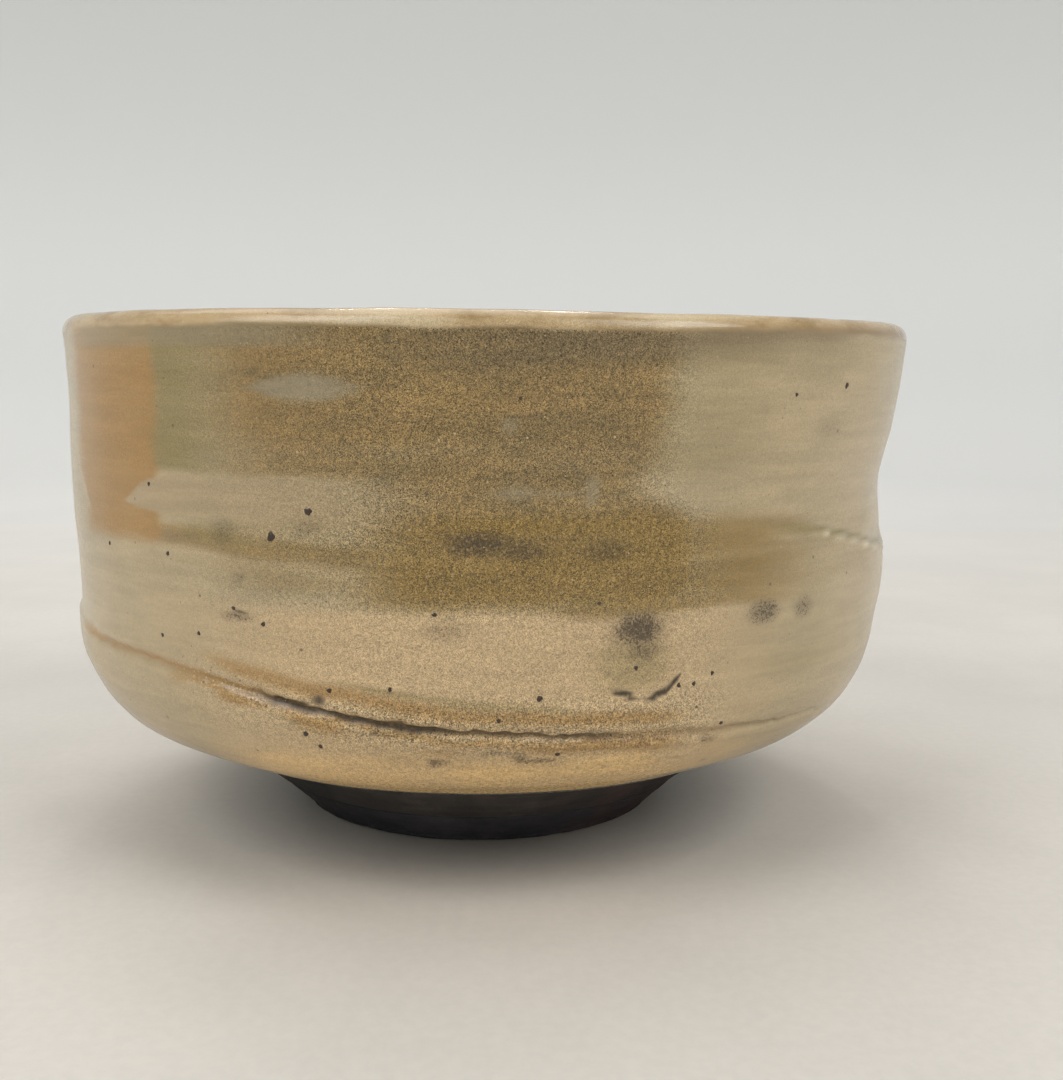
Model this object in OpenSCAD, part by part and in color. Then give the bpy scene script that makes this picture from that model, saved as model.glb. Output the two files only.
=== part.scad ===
// Matcha bowl: a half-cylinder tea bowl of dark stoneware on a foot ring.
// The wall is thrown, pressed a little out of round by hand, and coated with
// glaze from the lip down to the bare clay around the foot.
//
// Frame: +Z up, origin on the table under the middle of the lip,
// front of the bowl towards -Y.

/* [Lip] */
// Width across the lip
lip_d = 120; // [112:1:130]
// Height of the lip above the table
bowl_h = 70; // [64:1:80]
// Thickness of the rolled lip
lip_t = 4; // [3:0.5:5]
// Rise and fall of the lip, twice around the rim
lip_wave = 0.3; // [0:0.05:0.8]
// Width of the band of glaze that wraps over the lip, on the outside
lip_band = 2; // [1:0.5:4]

/* [Wall] */
// Width across the wall where it turns in to the base
belly_d = 115; // [108:1:118]
// Radius of the turn from the wall to the base
turn_r = 15; // [12:1:18]
// Slope of the underside above level, in degrees
base_slope = 23.5; // [18:0.5:26]
// Thickness of the wall where it turns in
wall_t = 5; // [4:0.5:6]

/* [Inside] */
// Height of the floor at its centre
floor_h = 11.5; // [11:0.5:14]
// Slope of the floor above level, in degrees
floor_slope = 6; // [3:1:10]
// Radius of the turn from the floor to the inside wall
inner_turn_r = 14; // [12:1:16]
// Width of the shallow pool in the floor where the last tea gathers
pool_d = 32; // [24:1:40]
// Depth of that pool
pool_depth = 0.8; // [0.2:0.1:1.2]

/* [Hand shaping] */
// How far the lip leans off the wheel's axis, towards +X
lip_lean = 1.2; // [0:0.1:2]
// Bulge of the wall on the +X side, above the turn
swell = 1.3; // [0:0.1:2]
// Height of the middle of the bulge
swell_z = 36; // [32:1:40]
// Depth of the finger press on the +X side, above the bulge
press = 0.7; // [0:0.1:1.2]
// Height of the middle of the finger press
press_z = 49; // [46:1:54]

/* [Tool groove] */
// Depth of the groove that a tool left as the bowl turned
groove_depth = 0.8; // [0:0.1:1.2]
// Width of that groove
groove_w = 1.6; // [1.2:0.2:3]
// Height of the groove at the front
groove_z = 23.2; // [22:0.2:25]
// Fall of the groove in a quarter turn to the right
groove_fall = 5; // [2:0.5:6]
// Extra rise of the groove to the left of the front
groove_rise = 3; // [0:0.5:4]

/* [Foot ring] */
// Height of the foot ring
foot_h = 5; // [4:0.5:6]
// Width across the foot ring where it joins the base
foot_top_d = 62.4; // [58:0.2:64]
// Width across the foot ring on the table
foot_d = 53.2; // [50:0.2:56]
// Width of the flat ring that rests on the table
foot_land = 5; // [3:0.5:7]
// Rounding of the foot ring's lower edges
foot_edge = 0.7; // [0.3:0.1:1]
// Height of the turned point in the middle of the foot's hollow
foot_point = 0.5; // [0:0.1:0.8]

/* [Bevel] */
// Width across the turned bevel of bare clay above the foot ring
bevel_d = 74; // [70:1:78]
// Height of the top of that bevel, where the underside turns flatter
bevel_h = 10; // [8.5:0.5:10.5]

/* [Glaze] */
// Thickness of the glaze
glaze_t = 0.5; // [0.3:0.1:0.8]
// Distance from the bevel out to the lower edge of the glaze
glaze_gap = 3.8; // [2:0.2:6]
// How far the lower edge of the glaze runs in and out
glaze_run = 0.8; // [0:0.1:1.5]

/* [Hidden] */
$fn = 96;

segments = 60;          // points around each ring of the wall
base_rows = 7;          // rows from the glaze edge to the groove
wall_rows = 10;         // rows from the groove to the lip band
lip_rows = 6;           // rows over the lip
inside_rows = 16;       // rows from the lip to the pool
wheel_x = -lip_lean;    // the foot ring stays on the wheel's axis
foot_r = foot_top_d / 2;
bevel_r = bevel_d / 2;
belly_r = belly_d / 2;
lip_r = lip_t / 2;

// Each grain of iron: [angle from the front, height, radius]
iron_grains = [
    [-19, 48, 0.6], [-23.5, 45, 0.7], [-42, 50, 0.3], [-39, 42, 0.35], [-52, 42, 0.3],
    [-25, 35, 0.35], [-34.5, 33, 0.3], [-41, 32, 0.3], [-29, 36.5, 0.3], [-17, 28, 0.35],
    [-20.5, 22.5, 0.45], [-19, 21, 0.35], [-10, 28.5, 0.3], [-5, 37, 0.3], [2, 25, 0.3],
    [6.5, 27.5, 0.45], [9, 20.5, 0.4], [17.5, 30.5, 0.3], [23, 28, 0.35], [25, 28, 0.3],
    [27.5, 29, 0.3], [36.5, 61, 0.3], [46, 62, 0.5], [30, 22.5, 0.35]];
grain_set = 0.3;        // depth of a grain in the glaze
grain_proud = 0.1;      // and its height above it

// The finished outside surface, from the bevel up over the lip and down the
// inside, is one path. A place on it is [radius, height, normal_r, normal_z].
base_n = [sin(base_slope), -cos(base_slope)];
base_start = [bevel_r, bevel_h] + glaze_t * base_n;
turn_x = belly_r - turn_r;
base_end = [turn_x + turn_r * base_n.x,
            base_start.y + (turn_x + turn_r * base_n.x - base_start.x) * tan(base_slope)];
base_len = norm(base_end - base_start);
turn_c = base_end - turn_r * base_n;
wall_power = 1.6;
wall_flare = lip_d / 2 - belly_r;
lip_tilt = atan(wall_flare * wall_power / (bowl_h - turn_c.y));
wall_top = bowl_h - lip_r * (1 + sin(lip_tilt));
lip_c = [lip_d / 2 - lip_r * cos(lip_tilt), bowl_h - lip_r];
lip_in = lip_c - lip_r * [cos(lip_tilt), -sin(lip_tilt)];
inner_r = belly_r - wall_t;
floor_n = [-sin(floor_slope), cos(floor_slope)];
floor_x = inner_r - inner_turn_r - inner_turn_r * floor_n.x;
floor_end = [floor_x, floor_h + floor_x * tan(floor_slope)];
inner_c = floor_end + inner_turn_r * floor_n;
in_rise = lip_in.y - inner_c.y;
in_flare = lip_in.x - inner_r;
in_lean = in_rise * tan(lip_tilt);
pool_edge = [pool_d / 2, floor_h + pool_d / 2 * tan(floor_slope)];
pool_mid = [pool_d / 8, floor_h - pool_depth];

function between(a, b, t) = a + (b - a) * t;
function smooth(t) = let (u = min(max(t, 0), 1)) u * u * (3 - 2 * u);
function bell(t) = exp(-t * t);
function on_arc(c, r, a) = [c.x + r * cos(a), c.y + r * sin(a), cos(a), sin(a)];
// A place on the straight line from a to b, with its normal on the right-hand side
function on_line(a, b, t) =
    let (p = between(a, b, t), d = (b - a) / norm(b - a)) [p.x, p.y, d.y, -d.x];
function on_wall(t) =
    let (slope = wall_flare * wall_power * pow(t, wall_power - 1) / (wall_top - turn_c.y),
         n = [1, -slope] / norm([1, slope]))
    [belly_r + wall_flare * pow(t, wall_power), between(turn_c.y, wall_top, t), n.x, n.y];
// The inside wall leaves its turn upright, and meets the lip at the lip's own tilt
function on_inner_wall(t) =
    let (bend = 3 * in_flare - in_lean,
         turn_back = in_lean - 2 * in_flare,
         slope = t * (2 * bend + 3 * turn_back * t) / in_rise,
         n = [-1, slope] / norm([1, slope]))
    [inner_r + t * t * (bend + turn_back * t), inner_c.y + in_rise * t, n.x, n.y];

// The path: 0 to 1 base, 1 to 2 turn, 2 to 3 wall, 3 to 4 lip, 4 to 5 inside
// wall, 5 to 6 inner turn, 6 to 7 floor, 7 to 8 pool.
function path(s) =
    s < 1 ? on_line(base_start, base_end, s) :
    s < 2 ? on_arc(turn_c, turn_r, between(base_slope - 90, 0, s - 1)) :
    s < 3 ? on_wall(s - 2) :
    s < 4 ? on_arc(lip_c, lip_r, between(-lip_tilt, 180 - lip_tilt, s - 3)) :
    s < 5 ? on_inner_wall(5 - s) :
    s < 6 ? on_arc(inner_c, -inner_turn_r, between(180, 90 + floor_slope, s - 5)) :
    s < 7 ? on_line(floor_end, pool_edge, s - 6) :
            on_line(pool_edge, pool_mid, s - 7);

// How much a place at angle a counts as the +X side, from 1 down to 0
function side(a) = pow(max(cos(a + 10), 0), 1.5);
// A place on the path at angle a, pressed out of round, and lifted off the surface
function shaped(p, a, lift) =
    let (z = p.y + lift * p[3],
         bulge = swell * bell((z - swell_z) / 7) - press * bell((z - press_z) / 5),
         r = p.x + lift * p[2] + side(a) * bulge,
         lean = lip_lean * smooth((z - 42) / 26),
         wave = lip_wave * smooth((z - 50) / 20) * sin(2 * a + 30))
    [wheel_x + lean + r * cos(a), r * sin(a), z + wave];

// Angle from the front of the bowl, positive towards +X, from -180 to 180
function from_front(a) = (a + 270) % 360 - 180;
// Place on the path where the surface has height z, on the turn or on the wall
function path_at(z) =
    z < turn_c.y
    ? 1 + (asin((z - turn_c.y) / turn_r) + 90 - base_slope) / (90 - base_slope)
    : 2 + (z - turn_c.y) / (wall_top - turn_c.y);
// The groove falls to the right, steepest left of the front, and fades at both ends;
// behind the bowl its rows only climb back to where they began
function groove_height(f) =
    abs(f) <= 90
    ? groove_z - groove_fall * f / 90 + groove_rise * smooth((-2 - f) / 40)
    : between(groove_height(90), groove_height(-90), smooth(((f + 360) % 360 - 90) / 180));
function groove_at(a) = path_at(groove_height(from_front(a)));
function groove_cut(a) =
    let (f = from_front(a)) groove_depth * smooth((f + 75) / 25) * smooth((62 - f) / 35);
// Lower edge of the glaze, as a place on the base
function glaze_edge(a) = (glaze_gap + glaze_run * (sin(3 * a) + sin(7 * a + 40)) / 2) / base_len;

// Rows are numbered up the outside, over the lip and down the inside
groove_row = base_rows + 1;
band_row = groove_row + 1 + wall_rows;
lip_end_row = band_row + lip_rows;
pool_row = lip_end_row + inside_rows;
band_at = path_at(bowl_h - lip_band);
lip_end_at = 4.1;
half_groove = groove_w / (wall_top - turn_c.y) / 2;
function row_at(row, a) =
    let (g = groove_at(a))
    row <= base_rows ? between(glaze_edge(a), g - half_groove, row / base_rows) :
    row == groove_row ? g :
    row <= band_row ? between(g + half_groove, band_at, (row - groove_row - 1) / wall_rows) :
    row <= lip_end_row ? between(band_at, lip_end_at, (row - band_row) / lip_rows) :
                         between(lip_end_at, 8, (row - lip_end_row) / inside_rows);
// Ring of points along one row: on the glaze with lift 0, on the clay with lift -glaze_t
function ring(row, lift) =
    [for (i = [0 : segments - 1])
        let (a = i * 360 / segments, cut = row == groove_row ? groove_cut(a) : 0)
        shaped(path(row_at(row, a)), a, lift - cut)];
// Round ring of points about the wheel's axis
function round_ring(r, z) =
    [for (i = [0 : segments - 1])
        let (a = i * 360 / segments)
        [wheel_x + r * cos(a), r * sin(a), z]];

// A solid whose surface runs through the rings in turn: up the outside and down the
// inside, either back to the first ring or closed by a flat cap at each end
module loft(rings, joined) {
    count = len(rings);
    total = count * segments;
    sides = [for (k = [0 : count - (joined ? 1 : 2)], i = [0 : segments - 1])
                let (low = k * segments, j = (i + 1) % segments,
                     a = low + i, b = low + j,
                     c = (a + segments) % total, d = (b + segments) % total)
                each [[a, c, d], [a, d, b]]];
    caps = joined ? [] : [[for (i = [0 : segments - 1]) i],
                          [for (i = [1 : segments]) total - i]];
    polyhedron(points = [for (r = rings) each r], faces = concat(sides, caps));
}

// A coat of glaze between two rows, closed at both edges
module coat(low_row, high_row) {
    loft(concat([for (row = [low_row : high_row]) ring(row, 0)],
                [for (row = [high_row : -1 : low_row]) ring(row, -glaze_t)]), true);
}

// Thrown clay: wall, floor, the flat base with its turned point, and the bevel
module clay_body() {
    color("#4a3b30")
        loft(concat([round_ring(2, foot_h - foot_point),
                     round_ring(8, foot_h),
                     round_ring(foot_r, foot_h),
                     round_ring(bevel_r, bevel_h)],
                    [for (row = [0 : pool_row]) ring(row, -glaze_t)]), false);
}

// Ring of coarse clay luted to the base, turned true on its outside and on its land
module foot_ring() {
    outer = foot_d / 2;
    inner = outer - foot_land;
    hollow = inner - 1.2;
    color("#2e2723")
        translate([wheel_x, 0, 0])
            rotate_extrude() {
                polygon([[hollow, foot_h], [inner, foot_edge], [inner + foot_edge, 0],
                         [outer - foot_edge, 0], [outer, foot_edge], [foot_r, foot_h]]);
                for (x = [inner + foot_edge, outer - foot_edge])
                    translate([x, foot_edge])
                        circle(foot_edge);
            }
}

module outer_glaze() {
    color("#b09468")
        coat(0, band_row);
}

module lip_glaze() {
    color("#c2aa80")
        coat(band_row, lip_end_row);
}

// Glaze on the inside wall and over the whole floor
module inner_glaze() {
    color("#b3a27c")
        loft(concat([for (row = [pool_row : -1 : lip_end_row]) ring(row, -glaze_t)],
                    [for (row = [lip_end_row : pool_row]) ring(row, 0)]), false);
}

// Grains of iron that melted through the glaze
module iron_spots() {
    color("#33261e")
        for (g = iron_grains) {
            a = g[0] + 270;
            p = path(path_at(g[1]));
            translate(shaped(p, a, -grain_set))
                rotate([0, 90 - atan2(p[3], p[2]), a])
                    cylinder(r = g[2], h = grain_set + grain_proud, $fn = 24);
        }
}

clay_body();
foot_ring();
outer_glaze();
lip_glaze();
inner_glaze();
iron_spots();
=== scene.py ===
"""A glazed stoneware matcha bowl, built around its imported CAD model.

The finished surface of the bowl is one grid of points that follows the CAD's own outline:
up the outside, over the lip and down the inside.  The three coats of glaze are cut out of
that grid, so that they meet without a seam, and the clay lies just under them.

Lengths are in millimetres, and meshes are made in metres.  An angle called front is in
degrees from the front of the bowl, positive towards +X.
"""
import math

import bpy
import numpy as np
from mathutils import Matrix, Vector


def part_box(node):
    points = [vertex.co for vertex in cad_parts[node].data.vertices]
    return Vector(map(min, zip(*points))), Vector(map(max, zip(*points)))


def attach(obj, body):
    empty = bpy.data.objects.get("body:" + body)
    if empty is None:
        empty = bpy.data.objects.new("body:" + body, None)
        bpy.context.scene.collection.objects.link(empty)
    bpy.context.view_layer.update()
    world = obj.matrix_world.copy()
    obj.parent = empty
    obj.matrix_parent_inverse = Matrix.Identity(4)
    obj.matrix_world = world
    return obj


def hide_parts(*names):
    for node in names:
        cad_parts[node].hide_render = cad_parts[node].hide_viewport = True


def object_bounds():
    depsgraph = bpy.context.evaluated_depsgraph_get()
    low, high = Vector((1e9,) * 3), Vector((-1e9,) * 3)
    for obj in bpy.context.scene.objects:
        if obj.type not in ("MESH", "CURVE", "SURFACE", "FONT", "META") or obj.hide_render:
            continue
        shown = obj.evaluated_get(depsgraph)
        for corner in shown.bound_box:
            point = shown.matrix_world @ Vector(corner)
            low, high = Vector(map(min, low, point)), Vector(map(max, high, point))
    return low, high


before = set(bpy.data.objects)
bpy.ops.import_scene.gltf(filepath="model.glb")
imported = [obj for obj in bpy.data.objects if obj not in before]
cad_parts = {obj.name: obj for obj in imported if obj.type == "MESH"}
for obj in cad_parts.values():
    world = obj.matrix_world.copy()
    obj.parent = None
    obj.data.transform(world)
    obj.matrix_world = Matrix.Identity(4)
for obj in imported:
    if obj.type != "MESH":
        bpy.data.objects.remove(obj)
cad_low, cad_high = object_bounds()

MM = 0.001


# ---------------------------------------------------------------- dimensions, as in the CAD
foot_low, foot_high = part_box("foot_ring")
lip_low, lip_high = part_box("lip_glaze")
WHEEL_X = (foot_low.x + foot_high.x) / 2 / MM   # the wheel's axis
FOOT_R = (foot_high.x - foot_low.x) / 2 / MM    # where the foot ring joins the base
FOOT_H = foot_high.z / MM
FOOT_LAND_R = 26.6      # outside of the foot ring on the table
FOOT_LAND = 5.0         # width of the foot ring on the table
FOOT_EDGE = 0.7         # rounding of its lower edges
FOOT_TAPER = 1.2        # how much wider the foot's hollow is on the table
FOOT_POINT = 0.5        # turned point in the foot's hollow
FOOT_POINT_R = 8.0

LIP_WAVE = 0.3
LIP_OUT_R = (lip_high.x - lip_low.x) / 2 / MM
BOWL_H = lip_high.z / MM - LIP_WAVE
LIP_R = 2.0             # half the thickness of the rolled lip
LIP_BAND = 2.0          # width of the lip's own glaze on the outside
LIP_END = 4.1           # where that glaze ends on the inside, as a place on the outline

BELLY_R = 57.5
TURN_R = 15.0
BASE_SLOPE = math.radians(23.5)
BEVEL_R, BEVEL_H = 37.0, 10.0   # where the turned bevel above the foot ends
WALL_T = 5.0
WALL_POWER = 1.6
FLOOR_H = 11.5
FLOOR_SLOPE = math.radians(6)
INNER_TURN_R = 14.0
POOL_R = 16.0
POOL_DEPTH = 0.8

LIP_LEAN = 1.2
SWELL, SWELL_Z = 1.3, 36.0
PRESS, PRESS_Z = 0.7, 49.0

GROOVE_DEPTH = 0.8
GROOVE_Z, GROOVE_FALL, GROOVE_RISE = 23.2, 5.0, 3.0

GLAZE_T = 0.5
GLAZE_GAP, GLAZE_RUN = 3.8, 0.8
CLAY_SET_BACK = 0.02    # the clay lies this much under the glaze, so that they never touch

# ---------------------------------------------------------------- how finely it is made
COLUMNS = 640           # points round the bowl
FOOT_COLUMNS = 480
EDGE_ROLL = 0.9         # width of the rounded lower edge of the glaze
EDGE_ROWS = 7
LOW_ROWS = 25           # from that edge to the groove
GROOVE_ROWS = 19        # across the groove
GROOVE_REACH = 2.2      # half the width that those rows cover
WALL_ROWS = 66          # from the groove to the lip's band
LIP_ROWS = 24
INSIDE_ROWS = 92
HIDDEN_STEP = 5         # the hidden side of a coat has one row for this many
BEVEL_ROWS = 22         # rows of bare clay up the bevel
CONE_ROWS = 14          # and on to the glaze


# ---------------------------------------------------------------- small maths
def between(a, b, t):
    return a + (b - a) * t


def smooth(t):
    t = np.clip(t, 0, 1)
    return t * t * (3 - 2 * t)


def bell(t):
    return np.exp(-t * t)


def window(x, low, high, soft_low, soft_high):
    """1 between low and high, with a fade as wide as soft at each end."""
    return smooth((x - low) / soft_low + 0.5) * smooth((high - x) / soft_high + 0.5)


def lattice_value(cell, seed):
    """A fixed value from -1 to 1 for each whole-numbered point of a lattice."""
    mixed = cell[..., 0] * 374761393 + cell[..., 1] * 668265263 + cell[..., 2] * 1440662683
    mixed = mixed + seed * 974634777
    mixed = (mixed ^ (mixed >> 13)) * 1274126177
    mixed = mixed ^ (mixed >> 16)
    return (mixed & 0xFFFF) / 32767.5 - 1


def noise(points, step, seed):
    """Smooth noise from -1 to 1 at points; step is its size, one number or one for each axis."""
    place = points / np.asarray(step, float)
    cell = np.floor(place).astype(np.int64)
    part = smooth(place - cell)
    total = np.zeros(points.shape[:-1])
    for corner in np.ndindex(2, 2, 2):
        weight = np.prod(np.where(corner, part, 1 - part), axis=-1)
        total += weight * lattice_value(cell + np.array(corner), seed)
    return total


def rough_noise(points, step, seed):
    """Three sizes of noise on top of each other."""
    return sum(noise(points, np.asarray(step, float) / 2**k, seed + k) / 2**k for k in range(3)) / 1.75


# ---------------------------------------------------------------- the outline
def unit(vector):
    return vector / np.linalg.norm(vector)


BASE_N = np.array([math.sin(BASE_SLOPE), -math.cos(BASE_SLOPE)])
BASE_START = np.array([BEVEL_R, BEVEL_H]) + GLAZE_T * BASE_N
TURN_X = BELLY_R - TURN_R
BASE_END = np.array([TURN_X + TURN_R * BASE_N[0], 0.0])
BASE_END[1] = BASE_START[1] + (BASE_END[0] - BASE_START[0]) * math.tan(BASE_SLOPE)
BASE_LEN = np.linalg.norm(BASE_END - BASE_START)
TURN_C = BASE_END - TURN_R * BASE_N
WALL_FLARE = LIP_OUT_R - BELLY_R
LIP_TILT = math.atan(WALL_FLARE * WALL_POWER / (BOWL_H - TURN_C[1]))
WALL_TOP = BOWL_H - LIP_R * (1 + math.sin(LIP_TILT))
LIP_C = np.array([LIP_OUT_R - LIP_R * math.cos(LIP_TILT), BOWL_H - LIP_R])
LIP_IN = LIP_C - LIP_R * np.array([math.cos(LIP_TILT), -math.sin(LIP_TILT)])
INNER_R = BELLY_R - WALL_T
FLOOR_N = np.array([-math.sin(FLOOR_SLOPE), math.cos(FLOOR_SLOPE)])
FLOOR_X = INNER_R - INNER_TURN_R - INNER_TURN_R * FLOOR_N[0]
FLOOR_END = np.array([FLOOR_X, FLOOR_H + FLOOR_X * math.tan(FLOOR_SLOPE)])
INNER_C = FLOOR_END + INNER_TURN_R * FLOOR_N
POOL_EDGE = np.array([POOL_R, FLOOR_H + POOL_R * math.tan(FLOOR_SLOPE)])
POOL_MID = np.array([POOL_R / 4, FLOOR_H - POOL_DEPTH])
CENTRE_R = 0.05
FLOOR_CENTRE = np.array([CENTRE_R, POOL_MID[1]])
INNER_RISE = LIP_IN[1] - INNER_C[1]
INNER_FLARE = LIP_IN[0] - INNER_R
INNER_LEAN = INNER_RISE * math.tan(LIP_TILT)


def arc(centre, radius, start, end):
    def stretch(t):
        angle = np.radians(between(start, end, t))
        n = np.stack([np.cos(angle), np.sin(angle)], axis=-1)
        return np.concatenate([centre + radius * n, n], axis=-1)
    return stretch


def line(start, end):
    ahead = unit(end - start)

    def stretch(t):
        spot = start + (end - start) * t[:, None]
        return np.concatenate([spot, np.tile([ahead[1], -ahead[0]], (len(t), 1))], axis=-1)
    return stretch


def outside_wall(t):
    slope = WALL_FLARE * WALL_POWER * t ** (WALL_POWER - 1) / (WALL_TOP - TURN_C[1])
    n = np.stack([np.ones_like(t), -slope], axis=-1) / np.hypot(1, slope)[:, None]
    spot = np.stack([BELLY_R + WALL_FLARE * t**WALL_POWER, between(TURN_C[1], WALL_TOP, t)], axis=-1)
    return np.concatenate([spot, n], axis=-1)


def inside_wall(down):
    t = 1 - down
    bend = 3 * INNER_FLARE - INNER_LEAN
    turn_back = INNER_LEAN - 2 * INNER_FLARE
    slope = t * (2 * bend + 3 * turn_back * t) / INNER_RISE
    n = np.stack([-np.ones_like(t), slope], axis=-1) / np.hypot(1, slope)[:, None]
    spot = np.stack([INNER_R + t * t * (bend + turn_back * t), INNER_C[1] + INNER_RISE * t], axis=-1)
    return np.concatenate([spot, n], axis=-1)


# A place on the outline is a number whose whole part picks one of these stretches
TILT = math.degrees(LIP_TILT)
STRETCHES = [
    line(BASE_START, BASE_END),
    arc(TURN_C, TURN_R, math.degrees(BASE_SLOPE) - 90, 0),
    outside_wall,
    arc(LIP_C, LIP_R, -TILT, 180 - TILT),
    inside_wall,
    arc(INNER_C, -INNER_TURN_R, 180, 90 + math.degrees(FLOOR_SLOPE)),
    line(FLOOR_END, POOL_EDGE),
    line(POOL_EDGE, POOL_MID),
    line(POOL_MID, FLOOR_CENTRE),
]
OUTLINE_END = float(len(STRETCHES))
LENGTHS = [BASE_LEN, TURN_R * (math.pi / 2 - BASE_SLOPE), WALL_TOP - TURN_C[1], LIP_R * math.pi,
           INNER_RISE, INNER_TURN_R * (math.pi / 2 - FLOOR_SLOPE), FLOOR_END[0] - POOL_R,
           POOL_R - POOL_MID[0], POOL_MID[0]]
LENGTH_TO = np.concatenate([[0], np.cumsum(LENGTHS)])   # length of the outline up to each place


def outline(place):
    """[radius, height, normal_r, normal_z] at places on the outline."""
    number = np.clip(np.floor(place).astype(int), 0, len(STRETCHES) - 1)
    found = np.zeros(place.shape + (4,))
    for k, stretch in enumerate(STRETCHES):
        here = number == k
        found[here] = stretch(place[here] - k)
    return found


def length_at(place):
    return np.interp(place, range(len(LENGTH_TO)), LENGTH_TO)


def place_at_length(length):
    return np.interp(length, LENGTH_TO, range(len(LENGTH_TO)))


def place_at_height(z):
    """Where the outside surface has height z, on the turn or on the wall."""
    dip = np.degrees(np.arcsin(np.clip((z - TURN_C[1]) / TURN_R, -1, 0)))
    on_turn = 1 + (dip + 90 - math.degrees(BASE_SLOPE)) / (90 - math.degrees(BASE_SLOPE))
    on_wall = 2 + (z - TURN_C[1]) / (WALL_TOP - TURN_C[1])
    return np.where(z < TURN_C[1], on_turn, on_wall)


def groove_height(front):
    near = np.clip(front, -90, 90)
    ahead = GROOVE_Z - GROOVE_FALL * near / 90 + GROOVE_RISE * smooth((-2 - near) / 40)
    right = GROOVE_Z - GROOVE_FALL
    left = GROOVE_Z + GROOVE_FALL + GROOVE_RISE
    behind = between(right, left, smooth(((front + 360) % 360 - 90) / 180))
    return np.where(np.abs(front) <= 90, ahead, behind)


def groove_strength(front):
    thin_start = 0.45 + 0.55 * smooth((front + 40) / 18)
    return thin_start * smooth((front + 75) / 25) * smooth((62 - front) / 35)


def groove_tone(front):
    """How dark the groove's floor is: black on the front, thin and brown beyond it."""
    return 0.15 + 0.56 * window(front, -27, 17, 8, 12) + 0.15 * window(front, -26, -5, 5, 6)


def glaze_edge_length(angle):
    return GLAZE_GAP + GLAZE_RUN * (np.sin(3 * angle) + np.sin(7 * angle + math.radians(40))) / 2


def shaped(spot, angle, lift):
    """Points where outline spots are pressed out of round at an angle, and lifted off."""
    r, z, nr, nz = np.moveaxis(spot, -1, 0)
    z = z + lift * nz
    side = np.maximum(np.cos(angle + math.radians(10)), 0) ** 1.5
    bulge = SWELL * bell((z - SWELL_Z) / 7) - PRESS * bell((z - PRESS_Z) / 5)
    radius = r + lift * nr + side * bulge
    lean = LIP_LEAN * smooth((z - 42) / 26)
    wave = LIP_WAVE * smooth((z - 50) / 20) * np.sin(2 * angle + math.radians(30))
    x = WHEEL_X + lean + radius * np.cos(angle)
    return np.stack([x, radius * np.sin(angle), z + wave], axis=-1)


# ---------------------------------------------------------------- marks of the hand and the fire
# Ridge of a finger press on the right: points (front, height)
RIDGE = [(30, 44.6), (38, 44.3), (45, 44.0), (50, 42.8), (56, 41.6), (62, 40.5), (72, 39.6)]
# Chips out of the groove's edge: front, height, radius
CHIPS = [(-9.2, 24.2, 1.1), (-18.5, 26.6, 1.2), (-26, 26.9, 0.8), (4, 22.9, 0.5)]


def ridge_height(front):
    return np.interp(front, [p[0] for p in RIDGE], [p[1] for p in RIDGE])


def ridge_strength(front):
    return smooth((front - 34) / 6) * smooth((84 - front) / 16)


def chips(front, z):
    """1 in the middle of each chip, down to 0 round it."""
    found = np.zeros_like(z)
    for chip_front, chip_z, radius in CHIPS:
        away = np.hypot(front - chip_front, (z - chip_z) * 1.3)
        found = np.maximum(found, bell(away / radius))
    return found


def groove_shape(front, z, solid):
    """How deep the groove is cut, from 0 to 1, with a broken edge."""
    away = z - groove_height(front)
    away = away + 0.20 * noise(solid, 1.7, 21) + 0.20 * noise(solid, 0.8, 22)
    width = 0.46 + 0.2 * noise(solid, (7, 7, 7), 23) + 0.15 * window(front, -26, -4, 6, 8)
    cut = bell(np.where(away < 0, away / width, away / (width * 0.85))) * groove_strength(front)
    return np.maximum(cut, 0.9 * chips(front, z) * (groove_strength(front) > 0.1))


def outside_marks(front, z, solid):
    away = z - groove_height(front)
    rolled = 0.13 * bell((np.abs(away) - 1.25) / 0.5) * groove_strength(front)
    ledge = smooth((front + 98) / 14) * smooth((-54 - front) / 10)
    ledge = 0.42 * ledge * smooth((0.9 - away) / 0.9) * smooth((away + 9) / 7)
    from_ridge = z - ridge_height(front) + 0.35 * noise(solid, 2.5, 24)
    ridge = 0.24 * bell(from_ridge / 0.42) - 0.3 * bell((from_ridge - 2.0) / 1.6)
    cut = GROOVE_DEPTH * groove_shape(front, z, solid)
    return rolled + ledge + ridge * ridge_strength(front) - cut


def relief(front, place, spot, solid):
    """Height of the finished surface above the CAD's outline."""
    length = length_at(place)
    angle = np.radians(front)
    ring_space = np.stack([length, np.cos(angle) * 1.3, np.sin(angle) * 1.3], axis=-1)
    rings = noise(ring_space, (1.9, 1, 1), 1) * 0.05 + noise(ring_space, (4.6, 1, 1), 2) * 0.07
    uneven = 0.10 * noise(solid, 17, 3) + 0.045 * noise(solid, 6, 4) + 0.012 * noise(solid, 1.4, 5)
    outside = place < 3
    marks = np.where(outside, outside_marks(front, spot[..., 1], solid), 0)
    inside_rings = noise(ring_space, (3.4, 1, 1), 6) * 0.16 * smooth((place - 4) / 0.3)
    on_floor = smooth((place - 5.7) / 0.6) * smooth((OUTLINE_END - 0.1 - place) / 0.5)
    spiral = 0.11 * np.sin(2 * math.pi * spot[..., 0] / 3.6 + angle) * on_floor
    height = rings + uneven + marks + np.where(outside, 0, inside_rings + spiral)
    on_lip = smooth((spot[..., 1] - (BOWL_H - 3.5)) / 2.5)
    dents = -0.10 * smooth(0.5 + noise(solid, 9, 7)) - 0.03 * smooth(0.5 + noise(solid, 2.5, 8))
    return between(height, dents, on_lip)


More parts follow.
